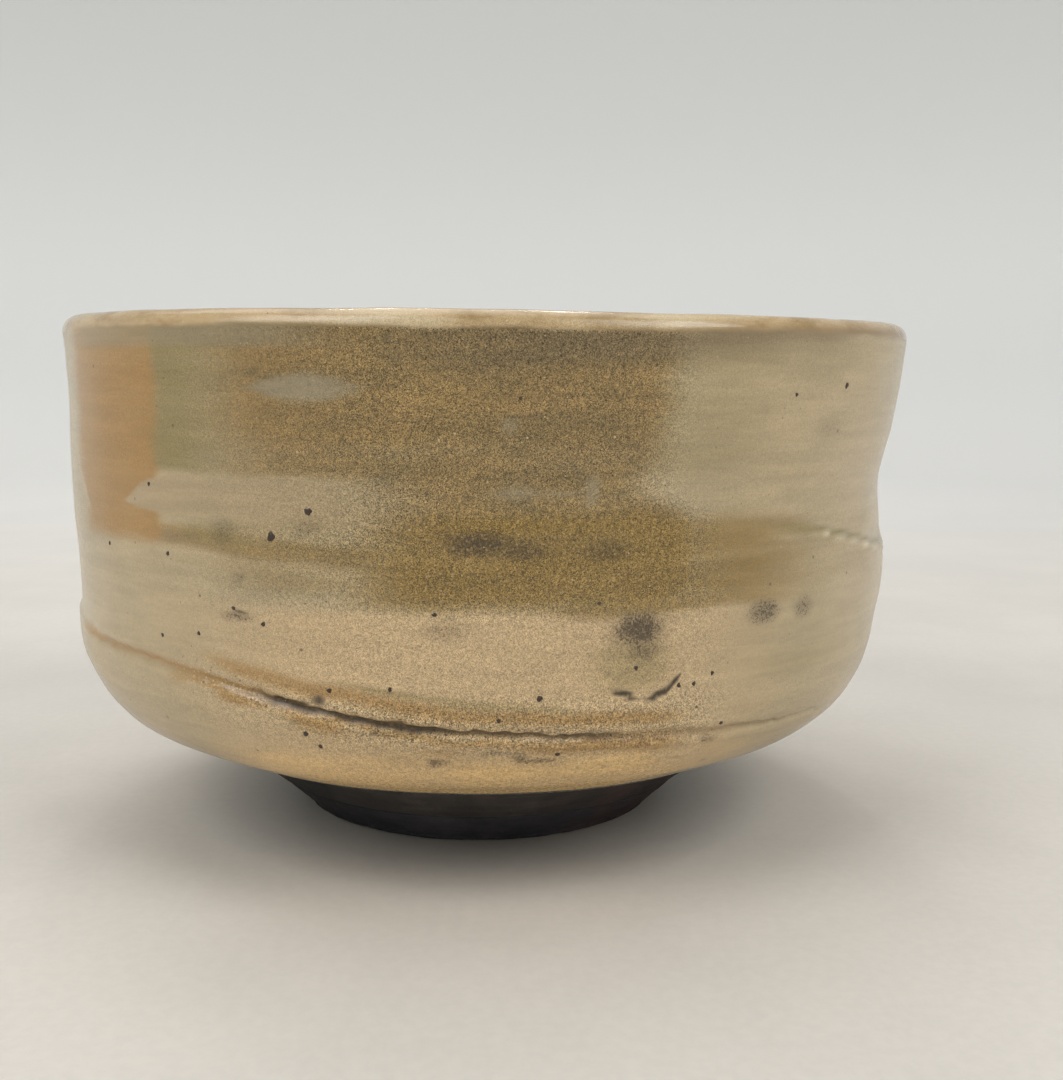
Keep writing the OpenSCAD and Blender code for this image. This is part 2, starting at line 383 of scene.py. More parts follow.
# ---------------------------------------------------------------- where each tone of glaze lies
def blob(front, z, spot, half):
    """A soft-edged oval: 1 inside, one half at its edge."""
    away = ((front - spot[0]) / half[0]) ** 2 + ((z - spot[1]) / half[1]) ** 2
    return np.exp(-0.69 * away**1.6)


def stroke(front, z, start, end, half):
    """A short brush stroke between two points."""
    start, end = np.array(start, float), np.array(end, float)
    ahead = end - start
    t = np.clip(((front - start[0]) * ahead[0] + (z - start[1]) * ahead[1]) / (ahead @ ahead), 0, 1)
    away = np.hypot(front - start[0] - t * ahead[0], z - start[1] - t * ahead[1])
    return bell(away / half)


def most(*masks):
    found = masks[0]
    for mask in masks[1:]:
        found = np.maximum(found, mask)
    return found


def behind_mask(front):
    """1 on the back of the bowl, which has the same kinds of mark in other places."""
    return smooth((np.abs(front) - 68) / 14)


def ochre_mask(front, z, solid):
    """Where the glaze broke to brown ochre: above the middle and in a band to the right."""
    top = window(front, -33, 20, 24, 9) * window(z, 51.4, 74, 3.4, 2)
    top = top * (1 - 0.2 * window(z, 52, 56.5, 2, 3))
    middle_end = np.interp(z, [46, 50], [26, 19])
    middle = 0.9 * window(front, -15, middle_end, 22, 12) * window(z, 37.2, 54, 4, 3)
    middle = middle * (1 - 0.08 * window(z, 47.5, 52.5, 2.5, 2.0))
    low_left = 0.5 * window(front, -34, -4, 26, 10) * window(z, 38, 52, 5, 4)
    right = 0.66 * window(front, 6, 43, 10, 24) * window(z, 36.4, 47.5, 1.8, 4.0)
    right = most(right, 0.7 * window(front, 6, 38, 10, 16) * window(z, 36.7, 40.8, 1.5, 2.5))
    far_right = 0.25 * window(front, 36, 62, 8, 10) * window(z, 38, 44.5, 3.5, 3.0)
    under_patch = np.interp(front, [-60, -50, -37, -16], [45.6, 45.2, 44.4, 43.4])
    strip = window(z - under_patch, -1.7, 1.3, 1.8, 1.4) * window(front, -45, -8, 16, 6)
    upper = window(z, 39 + 2 * noise(solid, 20, 32), 72, 5, 3)
    back = upper * smooth(0.7 + 1.2 * noise(solid, (26, 26, 9), 33)) * behind_mask(front)
    return most(top, middle, low_left, right, far_right, 0.7 * strip, 0.9 * back)


def orange_mask(front, z, solid):
    """Warm toasted places: the left side, beside the groove and low on the front."""
    lowest = np.interp(front, [-64, -60, -56, -41], [53, 48, 43.0, 43.4])
    left = window(front, -62, -39.8, 8, 3.4) * window(z - lowest, 0, 30, 1.8, 1)
    left = left * (1 - 0.2 * smooth((z - 62) / 5))
    away = z - groove_height(front)
    patches = smooth(0.62 + 0.9 * noise(solid, (7, 7, 2), 41))
    above = 0.8 * bell((away - 2.4) / 1.2) * window(front, -34, 24, 12, 8)
    below = 0.9 * bell((away + 1.5) / 1.3) * window(front, -40, 28, 8, 14) * patches
    lower_bank = 0.75 * bell((away + 0.8) / 0.5) * window(front, -38, 20, 8, 8)
    strip = 0.75 * window(z, 42.6, 46.6, 1.8, 1.6) * window(front, -59.5, -40, 4, 16)
    thin = 0.75 * bell(away / 0.8) * window(front, -66, -24, 6, 6)
    back = 0.7 * smooth(noise(solid, (20, 20, 8), 42) * 1.6) * behind_mask(front)
    return most(0.95 * left, above, below, lower_bank, strip, thin, back)


def amber_and_bounce_light_mask(front, z, solid):
    """Bright toasted glaze low on the front and in patches behind; low on the front its brightness is
    also painted light, as if bounced up from the table.
    """
    patches = smooth(0.62 + 0.9 * noise(solid, (7, 7, 2), 45))
    # Low on the front this tone is also painted light, as if bounced up from the table.
    low = window(z, 10, 20, 1.5, 6) * window(front, -34, 34, 34, 34) * (0.55 + 0.45 * patches)
    return most(low, 0.5 * window(z, 9, 18, 1.5, 6) * patches * behind_mask(front))


def olive_mask(front, z, solid):
    """Greenish ash: a stripe on the left and round the smudges, with painted shade in a line just above
    the ridge.
    """
    left = 0.85 * window(front, -41, -30, 3.4, 18) * window(z, 51.5, 70, 2, 2)
    above_band = 0.25 * window(front, 8, 24, 6, 12) * window(z, 47, 52, 3, 3)
    right_edge = 0.45 * window(front, 17, 34, 7, 18) * window(z, 51, 68, 5, 3)
    tail = 0.6 * most(blob(front, z, (17.0, 31.0), (5.0, 3.4)), blob(front, z, (-31, 44.6), (6, 1.6)))
    # Painted shade: a darker olive line just above the ridge.
    shade_above_ridge = 0.9 * bell((z - ridge_height(front) - 1.0) / 0.7) * ridge_strength(front)
    grey_line = 0.7 * bell((z - groove_height(front) - 3.7) / 0.5) * window(front, -16, 12, 10, 8)
    right = 0.35 * window(z, 27, 31, 5, 4) * window(front, 30, 75, 12, 12)
    back = smooth(0.2 + noise(solid, (24, 24, 6), 52)) * behind_mask(front) * window(z, 42, 70, 8, 2)
    return most(left, above_band, right_edge, tail, shade_above_ridge, grey_line, right, 0.6 * back)


def dusk_mask(front, z, solid):
    """Darker, greyer tone: under the lip and in soft bands across the front, and painted shade on the
    lower left flank.
    """
    reach = np.interp(front, [-50, -20, 0, 18, 36], [66.5, 64.5, 62.5, 63.5, 66.0])
    under_lip = 0.8 * smooth((z - reach) / 6 + 0.5) * window(front, -12, 46, 26, 14)
    right_half = 0.4 * window(front, 0, 19, 16, 9) * window(z, 53, 70, 5, 3)
    band = 0.4 * window(z, 42.5, 46.5, 2.4, 2.4) * window(front, -8, 20, 10, 10)
    # Painted shade on the lower left flank.
    left_flank_shade = 0.35 * window(front, -84, -50, 10, 16) * window(z, 9, 25, 3, 5)
    behind = 0.5 * window(z, 62, 69, 6, 1.5) * behind_mask(front)
    cloud = 0.85 + 0.15 * noise(solid, (12, 12, 3), 54)
    return most(under_lip, right_half, band, left_flank_shade, behind) * cloud


def pale_mask(front, z, solid):
    """Thick pale glaze: the lighter right side, and bands on both flanks."""
    right = 0.8 * smooth((front - 24) / 34) * window(z, 44, 64, 6, 9) * smooth((86 - front) / 14)
    left = 0.45 * window(front, -85, -46, 10, 30) * window(z, 31, 42.4, 4, 2)
    bright = 0.8 * window(z, 35, 44, 4, 3) * window(front, 46, 84, 14, 14)
    back = 0.6 * smooth(-0.1 - noise(solid, (22, 22, 7), 62)) * behind_mask(front)
    return most(right, left, bright, back)


def patch_mask(front, z, solid):
    """A pointed pale patch on the left, which lies over the other tones."""
    wobble = 0.25 * noise(solid, (5, 5, 3), 61)
    upper = np.interp(front, [-50, -47, -43, -38, -14], [47.8, 48.6, 50.6, 51.7, 51.9]) + wobble
    lower = np.interp(front, [-50, -45, -36, -14], [47.8, 46.9, 46.1, 45.5]) + wobble
    body = smooth((z - lower) / 0.9) * smooth((upper - z) / 0.9)
    return body * np.interp(front, [-50, -45, -36, -24, -12, 0], [0.9, 1, 0.8, 0.6, 0.35, 0])


def film_and_reflection_mask(front, z, solid):
    """A thin smooth coat that lies over the ochre: an oval and a few faint dashes, and a pale band under
    the lip on the left that is a painted reflection.
    """
    reach = 2.0 * (1 - np.minimum(np.abs((front + 19.5) / 8.2), 1) ** 1.7)
    away = np.abs(z - 61.4 + 0.15 * noise(solid, 4, 63))
    oval = 0.9 * smooth((reach - away) / 0.9) * smooth((-9 - front) / 9)
    dashes = [((3.5, 50.3), (2.4, 0.6), 0.7), ((2.2, 57.6), (0.8, 0.8), 0.6),
              ((11.6, 50.4), (0.8, 1.6), 0.7), ((-32, 53.5), (2, 1), 0.3), ((8, 50.2), (2.6, 0.4), 0.45),
              ((128, 58), (6.0, 1.5), 0.7), ((-145, 61), (1.4, 1.0), 0.5)]
    # A pale band under the lip on the left: a painted reflection.
    under_lip = 0.6 * window(front, -58, -20, 8, 14) * window(z, 65.8, 69, 1.0, 1.0)
    dashes = [strength * blob(front, z, spot, half) for spot, half, strength in dashes]
    return most(oval, under_lip, *dashes)


def gold_mask(front, z, solid):
    """Where the ochre is yellower and darker, round the middle."""
    patchy = 0.8 + 0.2 * noise(solid, (14, 14, 4), 65)
    core = 0.9 * window(z, 42, 48, 1.5, 3)
    return patchy * smooth((front + 44) / 20) * most(core, 0.8 * window(z, 35, 45, 2, 3))


def grit_mask(front, z, solid):
    """Coarse sandy grit, which the tool dragged up beside the groove, and low on the front."""
    away = z - groove_height(front)
    beside = bell((away + 0.2) / 2.6) * window(front, -38, 26, 16, 16)
    low = 0.5 * window(z, 13.5, 22, 2, 4) * window(front, -22, 26, 14, 14)
    middle = 0.25 * window(z, 38, 52, 4, 4) * window(front, -18, 24, 12, 12)
    return most(beside, low, middle) * smooth(0.9 + 0.8 * noise(solid, (5, 5, 2.5), 67))


def ridge_highlight_mask(front, z, solid):
    """Painted highlight: the pale broken line along the top of the ridge."""
    away = z - ridge_height(front) + 0.15 * noise(solid, 2.5, 24)
    broken = smooth(1.1 + 1.3 * noise(solid, (7, 7, 3), 66)) * smooth((70 - front) / 14)
    return 0.9 * bell((away - 0.1) / 0.24) * ridge_strength(front) * broken


def sandy_mask(front, z, solid):
    """How strongly the sand shows through the glaze."""
    right_end = np.interp(z, [30, 37, 47, 50], [28, 28, 26, 20])
    middle = 0.2 + 0.8 * window(front, -26, 99, 34, 1) * smooth((right_end - front) / 10 + 0.5)
    away = np.abs(z - groove_height(front) + 0.3)
    by_groove = 0.25 * smooth((3.6 - away) / 3) * window(front, -32, 26, 14, 16)
    calm = 0.45 * window(z, 27, 37, 3, 3) + 0.4 * window(z, 10, 22, 1, 4)
    calm = calm + 0.25 * window(z, 37, 43, 3, 2) * window(front, -60, -8, 5, 12)
    smooth_left = 1 - 0.5 * window(z, 46, 52, 1.5, 1.5) * window(front, -50, -14, 3, 12)
    back = 0.4 + 0.25 * noise(solid, (24, 24, 10), 68)
    behind = smooth((np.abs(front) - 60 + 16 * noise(solid, (30, 30, 9), 69)) / 45)
    return between((middle * (1 - calm) + by_groove) * smooth_left, back, behind)


def rosy_mask(front, z, solid):
    """Pinkish sandy glaze across the lower front."""
    return window(front, -30, 30, 30, 24) * window(z, 14, 37.5, 6, 3)


def smoke_mask(front, z, solid):
    """Dark smudges made of fine dots, and a few brush-like strokes."""
    ovals = [
        ((17.7, 34.9), (2.7, 1.7), 1.0), ((18.4, 32.6), (1.7, 1.5), 0.55),
        ((34.6, 35.6), (2.3, 1.3), 0.75), ((41.5, 35.4), (1.6, 1.2), 0.5),
        ((-0.2, 44.8), (3.2, 1.3), 0.8), ((4.2, 44.0), (2.4, 1.1), 0.65), ((13.6, 43.7), (2.6, 1.1), 0.5),
        ((-28.5, 35.6), (2.2, 0.5), 0.6), ((-16, 43.0), (3.0, 0.6), 0.25), ((-4, 35.2), (2, 1.2), 0.3),
        ((-30, 45.3), (1.6, 1.4), 0.35), ((-19, 46.2), (2.0, 0.9), 0.35), ((44, 57), (2.6, 1.6), 0.2),
        ((-122, 40), (4, 1.4), 0.8), ((-113, 38), (2, 1.1), 0.5), ((141, 33), (3, 1.8), 0.9),
        ((150, 46), (6, 0.9), 0.6), ((-168, 55), (3, 1.2), 0.4), ((101, 31), (2.5, 1.3), 0.5),
    ]
    found = np.zeros_like(z)
    for spot, half, strength in ovals:
        found = np.maximum(found, strength * blob(front, z, spot, half))
    flecks = smooth(noise(solid, (3.2, 3.2, 1.3), 71) * 2.4 - 1.25)
    away = z - groove_height(front)
    near_groove = flecks * window(away, -5.5, -0.8, 1, 1) * window(front, -30, 48, 8, 10)
    edge = flecks * window(z, 11.8, 14.5, 1, 1.5)
    in_ochre = flecks * window(z, 39.5, 43.5, 1.5, 1.5) * window(front, -28, 10, 8, 8)
    return most(found, 0.75 * near_groove, 0.6 * edge, 0.6 * in_ochre)


def stroke_mask(front, z, solid):
    """Thin dark strokes, nearly solid."""
    z = z + 0.2 * noise(solid, 0.9, 72)
    strokes = [
        ((14.9, 28.0), (17.2, 27.2), 0.50, 1.0), ((17.2, 27.2), (19.8, 26.8), 0.25, 0.8),
        ((19.8, 26.9), (21.2, 27.5), 0.60, 1.0), ((21.2, 27.5), (22.9, 28.9), 0.42, 1.0),
        ((-29.5, 36.6), (-26.5, 35.6), 0.30, 0.8), ((-24, 26.5), (-20, 26.2), 0.50, 0.8),
        ((139, 27), (144, 26.4), 0.35, 0.7), ((-131, 31), (-126, 31.8), 0.35, 0.7),
    ]
    return most(*[strength * stroke(front, z, *place) for *place, strength in strokes])


def groove_mask(front, z, solid):
    """The dark floor of the groove."""
    return groove_shape(front, z, solid) * groove_tone(front)


def brown_rim_mask(front, z, solid):
    """Where the lip is browner, on the right."""
    return smooth((front - 12) / 40) * smooth((105 - front) / 20)


def inside_tones(place, solid):
    """The masks that aren't 0 on the inside, where the tones are calmer."""
    deep = smooth((place - 5.2) / 2.2)
    return {
        "ochre": 0.75 * smooth(0.35 + 1.1 * noise(solid, (24, 24, 8), 85)) * (1 - 0.6 * deep),
        "orange": 0.25 * smooth(0.2 + noise(solid, (18, 18, 6), 90)),
        "amber_and_bounce_light": 0.1,
        "olive": between(0.3 * smooth(0.5 + noise(solid, 15, 86)), 0.8, deep),
        "dusk": 0.25 * deep,
        "pale": 0.7 * smooth(0.1 - noise(solid, (20, 20, 6), 87)) * (1 - deep),
        "grit": 0.1,
        "sandy": 0.6,
        "rosy": 0.2,
    }


# Each mask is worked out from front, height and solid, the point in space that noise is taken at.
# The large tones have edges that drift a little, and the marks stay where they are.
TONES = {
    "ochre": ochre_mask, "orange": orange_mask, "amber_and_bounce_light": amber_and_bounce_light_mask, "olive": olive_mask,
    "dusk": dusk_mask, "pale": pale_mask, "gold": gold_mask, "patch": patch_mask, "rosy": rosy_mask,
}
MARKS = {
    "ridge_highlight": ridge_highlight_mask, "grit": grit_mask, "film_and_reflection": film_and_reflection_mask, "sandy": sandy_mask,
    "smoke": smoke_mask, "stroke": stroke_mask, "groove": groove_mask, "brown_rim": brown_rim_mask,
}


def outside_tones(front, z, solid):
    """Every mask as it is on the outside."""
    drift = 0.6 * noise(solid, (11, 11, 8), 81) + 0.3 * noise(solid, 3.5, 82)
    loose = front + drift + 0.6 * noise(solid, (30, 30, 1.3), 80)
    z_loose = z + 0.5 * noise(solid, (13, 13, 7), 83) + 0.2 * noise(solid, (4, 4, 2), 84)
    fields = {name: mask(loose, z_loose, solid) for name, mask in TONES.items()}
    fields.update({name: mask(front, z, solid) for name, mask in MARKS.items()})
    return fields


def tone_fields(front, place, spot, solid, edge_away):
    """Every mask that the glaze's material reads, for each point of the finished surface."""
    z = spot[..., 1]
    inside = smooth((place - 3.1) / 0.2)
    within, without = inside_tones(place, solid), outside_tones(front, z, solid)
    fields = {name: between(mask, within.get(name, 0), inside) for name, mask in without.items()}
    fields["edge"] = np.where(place < 2, bell((edge_away - 0.7) / 2.0), 0)
    ragged = 0.5 * noise(solid, (9, 9, 9), 88) + 0.25 * noise(solid, 3, 89)
    fields["rim"] = smooth((z - (BOWL_H - LIP_BAND - 0.2 + ragged)) / 1.3 + 0.3)
    return fields


# ---------------------------------------------------------------- the finished surface
def outline_rows():
    """The place on the outline and the lift of every row, at each column."""
    angle = np.arange(COLUMNS) * 2 * math.pi / COLUMNS
    front = (np.degrees(angle) + 270) % 360 - 180
    edge = glaze_edge_length(angle)
    groove = length_at(place_at_height(groove_height(front)))
    band = length_at(place_at_height(np.array(BOWL_H - LIP_BAND)))
    turn = np.linspace(0, math.pi / 2, EDGE_ROWS)
    lengths, lifts = [], []
    for t in turn:
        lengths.append(edge + EDGE_ROLL * (1 - math.cos(t)))
        lifts.append(np.full(COLUMNS, -GLAZE_T * (1 - math.sin(t))))
    low, high = edge + EDGE_ROLL, groove - GROOVE_REACH
    lengths += [between(low, high, t) for t in np.linspace(0, 1, LOW_ROWS + 1)[1:]]
    low, high = high, groove + GROOVE_REACH
    lengths += [between(low, high, t) for t in np.linspace(0, 1, GROOVE_ROWS + 1)[1:]]
    lengths += [between(high, band, t) for t in np.linspace(0, 1, WALL_ROWS + 1)[1:]]
    lifts += [np.zeros(COLUMNS)] * (len(lengths) - len(lifts))
    places = [place_at_length(length) for length in lengths]
    band_place = places[-1]
    places += [between(band_place, LIP_END, t) for t in np.linspace(0, 1, LIP_ROWS + 1)[1:]]
    end_length, last_length = length_at(np.array(LIP_END)), LENGTH_TO[-1]
    inside = np.linspace(end_length, last_length, INSIDE_ROWS + 1)[1:]
    places += [np.full(COLUMNS, place_at_length(length)) for length in inside]
    lifts += [np.zeros(COLUMNS)] * (len(places) - len(lifts))
    edge_away = np.stack(lengths + [np.full(COLUMNS, 99.0)] * (len(places) - len(lengths))) - edge
    return angle, front, np.stack(places), np.stack(lifts), edge_away


def grid_normals(points):
    along = np.gradient(points, axis=0)
    around = np.roll(points, -1, axis=1) - np.roll(points, 1, axis=1)
    normal = np.cross(around, along)
    return normal / np.maximum(np.linalg.norm(normal, axis=-1, keepdims=True), 1e-12)


class FinishedSurface:
    """The grid of the whole glazed surface, with its normals and its tone masks."""

    def __init__(self):
        angle, front, place, lift, edge_away = outline_rows()
        self.angle = np.broadcast_to(angle, place.shape)
        self.spot = outline(place)
        solid = shaped(self.spot, self.angle, 0)
        front = np.broadcast_to(front, place.shape)
        self.relief = relief(front, place, self.spot, solid)
        self.points = shaped(self.spot, self.angle, self.relief + lift)
        self.points = np.clip(self.points, np.array(cad_low) / MM, np.array(cad_high) / MM)
        self.normals = grid_normals(self.points)
        self.fields = tone_fields(front, place, self.spot, solid, edge_away)
        self.band_row = EDGE_ROWS + LOW_ROWS + GROOVE_ROWS + WALL_ROWS - 1
        self.lip_row = self.band_row + LIP_ROWS
        self.last_row = self.lip_row + INSIDE_ROWS

    def under(self, row, depth):
        """One row of points at a depth under the finished surface."""
        return shaped(self.spot[row], self.angle[row], self.relief[row] - depth)

    def hidden_rows(self, first, last):
        """Rows for a side that nobody sees: few on the wall, all of them across the groove."""
        groove_first = EDGE_ROWS + LOW_ROWS - 1
        groove_last = groove_first + GROOVE_ROWS
        rows = set(range(first, last, HIDDEN_STEP)) | {first, last}
        rows |= set(range(max(first, groove_first), min(last, groove_last) + 1, 2))
        return sorted(rows)


# ---------------------------------------------------------------- meshes
def grid_faces(rows, columns, joined):
    """Quads of a grid of rows that is closed round its columns, and joined end to end if asked."""
    low = np.arange(rows if joined else rows - 1)[:, None] * columns
    high = (low + columns) % (rows * columns)
    here = np.arange(columns)[None, :]
    there = (here + 1) % columns
    return np.stack([low + here, low + there, high + there, high + here], axis=-1).reshape(-1, 4)


def make_mesh(name, points, quads, normals=None, fans=(), fields=None):
    """A closed, smooth mesh in metres. Each fan is (centre point, ring of indices, forwards)."""
    points = [np.asarray(points, float).reshape(-1, 3)]
    faces = [tuple(q) for q in quads.tolist()]
    count = len(points[0])
    for centre, ring, forwards in fans:
        points.append(np.asarray(centre, float).reshape(1, 3))
        pairs = zip(ring, np.roll(ring, -1))
        faces += [(int(a), int(b), count) if forwards else (int(b), int(a), count) for a, b in pairs]
        count += 1
    points = np.concatenate(points) * MM
    mesh = bpy.data.meshes.new(name)
    mesh.from_pydata(points.tolist(), [], faces)
    mesh.update()
    mesh.polygons.foreach_set("use_smooth", [True] * len(mesh.polygons))
    for field, values in (fields or {}).items():
        full = np.zeros(count, np.float32)
        full[:len(values)] = values
        mesh.attributes.new(field, "FLOAT", "POINT").data.foreach_set("value", full)
    if normals is not None:
        own = np.zeros(count * 3, np.float32)
        mesh.vertex_normals.foreach_get("vector", own)
        own = own.reshape(-1, 3)
        own[:len(normals)] = normals
        mesh.normals_split_custom_set_from_vertices(own.tolist())
    piece = bpy.data.objects.new(name, mesh)
    bpy.context.scene.collection.objects.link(piece)
    return piece


def coat(surface, name, first, last):
    """A coat of glaze between two rows of the finished surface, with its own underside."""
    hidden = surface.hidden_rows(first + (EDGE_ROWS - 1 if first == 0 else 0), last)[::-1]
    top = surface.points[first:last + 1]
    bottom = np.stack([surface.under(row, GLAZE_T) for row in hidden])
    rows = np.concatenate([top, bottom])
    fields = {
        key: np.concatenate([values[first:last + 1], values[hidden]]).reshape(-1)
        for key, values in surface.fields.items()
    }
    open_floor = last == surface.last_row
    quads = grid_faces(len(rows), COLUMNS, True)
    fans = []
    if open_floor:
        cut = (last - first) * COLUMNS
        quads = np.concatenate([quads[:cut], quads[cut + COLUMNS:]])
        ring = np.arange(COLUMNS) + cut
        centre, under = rows[last - first].mean(0), rows[last - first + 1].mean(0)
        fans = [(centre, ring, True), (under, ring + COLUMNS, False)]
    normals = surface.normals[first:last + 1].reshape(-1, 3)
    return make_mesh(name, rows, quads, normals, fans, fields)


def turned_base_rows():
    """Rows of bare clay inside the foot ring, from its turned point out to the ring's seat."""
    angle = np.arange(COLUMNS) * 2 * math.pi / COLUMNS
    hollow = FOOT_LAND_R - FOOT_LAND - FOOT_TAPER
    point, flat = np.linspace(0.2, FOOT_POINT_R, 18), np.linspace(8.4, hollow + 0.1, 30)
    rows = []
    for r in np.concatenate([point, flat, [hollow + 3.0, FOOT_R - 0.4]]):
        height = FOOT_H - FOOT_POINT * smooth((FOOT_POINT_R - r) / 6.5)
        ring = np.stack([r * np.cos(angle), r * np.sin(angle), np.zeros(COLUMNS)], axis=-1)
        marks = 0.07 * np.sin(2 * math.pi * r / 1.7 + angle) + 0.05 * noise(ring, 2.2, 91)
        marks = marks + 0.10 * rough_noise(ring, 7, 92)
        ring[:, 2] = height + marks * smooth((hollow + 0.9 - r) / 2) + CLAY_SET_BACK * (r > hollow)
        ring[:, 0] += WHEEL_X
        rows.append(ring)
    return rows


def bevel_spots(count):
    """Outline spots up the turned bevel, from the foot ring to the start of the base."""
    start, end = np.array([FOOT_R, FOOT_H]), np.array([BEVEL_R, BEVEL_H])
    ahead = unit(end - start)
    for t in np.linspace(0, 1, count):
        spot = between(start, end, t)
        turned = smooth((t - 0.6) / 0.4)
        n = unit(between(np.array([ahead[1], -ahead[0]]), BASE_N, turned))
        yield t, np.concatenate([spot, n])


def bare_clay_rows(surface):
    """Rows of bare clay, up the bevel and out to just under the edge of the glaze."""
    angle = np.arange(COLUMNS) * 2 * math.pi / COLUMNS
    rows = []
    for t, spot in bevel_spots(BEVEL_ROWS):
        place = shaped(np.tile(spot, (COLUMNS, 1)), angle, 0)
        lines = 0.05 * noise(place, (70, 70, 0.55), 97) + 0.09 * noise(place, (50, 50, 1.3), 98)
        grain = 0.05 * noise(place, 0.9, 94) + 0.08 * rough_noise(place, 6, 95)
        seated = smooth(t / 0.1) * (1 - smooth((t - 0.9) / 0.1))
        lift = (lines + grain) * seated - 0.03 * (1 - seated)
        rows.append(shaped(np.tile(spot, (COLUMNS, 1)), angle, lift))
    end = glaze_edge_length(angle) + EDGE_ROLL
    for t in np.linspace(0, 1, CONE_ROWS + 1)[1:]:
        spot = outline(place_at_length(between(0, end, t)))
        place = shaped(spot, angle, 0)
        marks = 0.06 * noise(place, 0.9, 94) + 0.07 * rough_noise(place, 5, 93)
        fade = smooth(t / 0.15) * smooth((0.86 - t) / 0.12)
        own = surface.relief[EDGE_ROWS - 1] * smooth((t - 0.6) / 0.4)
        rows.append(shaped(spot, angle, own + marks * fade - GLAZE_T - CLAY_SET_BACK))
    return rows


def clay_piece(surface):
    """The thrown clay: its base, bevel and cone are seen, and the rest backs the glaze."""
    hidden = surface.hidden_rows(EDGE_ROWS - 1 + HIDDEN_STEP, surface.last_row)
    rows = turned_base_rows() + bare_clay_rows(surface)
    rows += [surface.under(row, GLAZE_T + CLAY_SET_BACK) for row in hidden]
    rows = np.stack(rows)
    quads = grid_faces(len(rows), COLUMNS, False)
    ring = np.arange(COLUMNS)
    last = (len(rows) - 1) * COLUMNS
    fans = [(rows[0].mean(0), ring, False), (rows[-1].mean(0), ring + last, True)]
    return make_mesh("clay_wall_and_floor", rows, quads, None, fans)


def foot_profile():
    """Points round the section of the foot ring, from its outer seat down and back up inside."""
    outer, inner = FOOT_LAND_R, FOOT_LAND_R - FOOT_LAND
    hollow = inner - FOOT_TAPER
    rows = [(between(FOOT_R, outer, t), between(FOOT_H, FOOT_EDGE, t)) for t in np.linspace(0, 1, 20)]
    for middle, start in ((outer - FOOT_EDGE, 0), (inner + FOOT_EDGE, -90)):
        for turn in np.radians(np.linspace(start, start - 90, 7)[1:]):
            rows.append((middle + FOOT_EDGE * math.cos(turn), FOOT_EDGE + FOOT_EDGE * math.sin(turn)))
        if start == 0:
            ends = (outer - FOOT_EDGE, inner + FOOT_EDGE)
            rows += [(between(*ends, t), 0.0) for t in np.linspace(0, 1, 12)[1:]]
    up = np.linspace(0, 1, 18)[1:]
    return rows + [(between(inner, hollow, t), between(FOOT_EDGE, FOOT_H, t)) for t in up]


def foot_piece():
    """The foot ring, with turning lines, sandy grain and small chips on its lower edge."""
    angle = np.arange(FOOT_COLUMNS) * 2 * math.pi / FOOT_COLUMNS
    profile = foot_profile()
    rows = []
    for r, z in profile:
        ring = np.stack([r * np.cos(angle), r * np.sin(angle), np.full(FOOT_COLUMNS, z)], axis=-1)
        lines = 0.07 * noise(ring, (60, 60, 0.7), 101) + 0.05 * noise(ring, (40, 40, 0.35), 102)
        grain = 0.06 * noise(ring, 0.8, 103) + 0.10 * rough_noise(ring, 5, 104)
        worn = smooth(1.6 * noise(ring, (3.5, 3.5, 2), 105) - 0.55) * bell((z - 0.2) / 0.8)
        seated = smooth(z / 0.35) * smooth((FOOT_H - z) / 0.3)
        outward = 1 if r > FOOT_LAND_R - FOOT_LAND / 2 else -1
        push = outward * ((lines + grain) * seated - 0.12 * worn)
        flat = z + (0.10 * worn + 0.03 * (1 + noise(ring, 0.9, 106))) * (1 - smooth(z / 0.6))
        spread = (r + push) / r
        rows.append(np.stack([ring[:, 0] * spread + WHEEL_X, ring[:, 1] * spread, flat], axis=-1))
    rows = np.stack(rows)
    rows[..., 2] -= rows[..., 2].min()
    # The rows run down the outside, so turn them over for faces that look outwards
    quads = grid_faces(len(rows), FOOT_COLUMNS, True)[:, ::-1]
    return make_mesh("kodai_foot_ring", rows, quads)


def cad_grains():
    """Middle and radius of every grain of iron in the CAD, in millimetres."""
    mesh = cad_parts["iron_spots"].data
    points = np.array([v.co for v in mesh.vertices]) / MM
    group = list(range(len(points)))

    def root(k):
        while group[k] != k:
            k = group[k]
        return k

    same_place = {}
    for k, point in enumerate(points):
        first = same_place.setdefault(tuple(np.round(point, 3)), k)
        group[root(k)] = root(first)
    for polygon in mesh.polygons:
        first = root(polygon.vertices[0])
        for k in polygon.vertices[1:]:
            group[root(k)] = first
    sets = {}
    for k in range(len(points)):
        sets.setdefault(root(k), []).append(k)
    found = []
    for members in sets.values():
        spots = points[members]
        middle = (spots.min(0) + spots.max(0)) / 2
        reach = np.linalg.norm(spots - middle, axis=1).max()
        found.append((middle, reach))
    return sorted(found, key=lambda g: tuple(np.round(g[0], 2)))


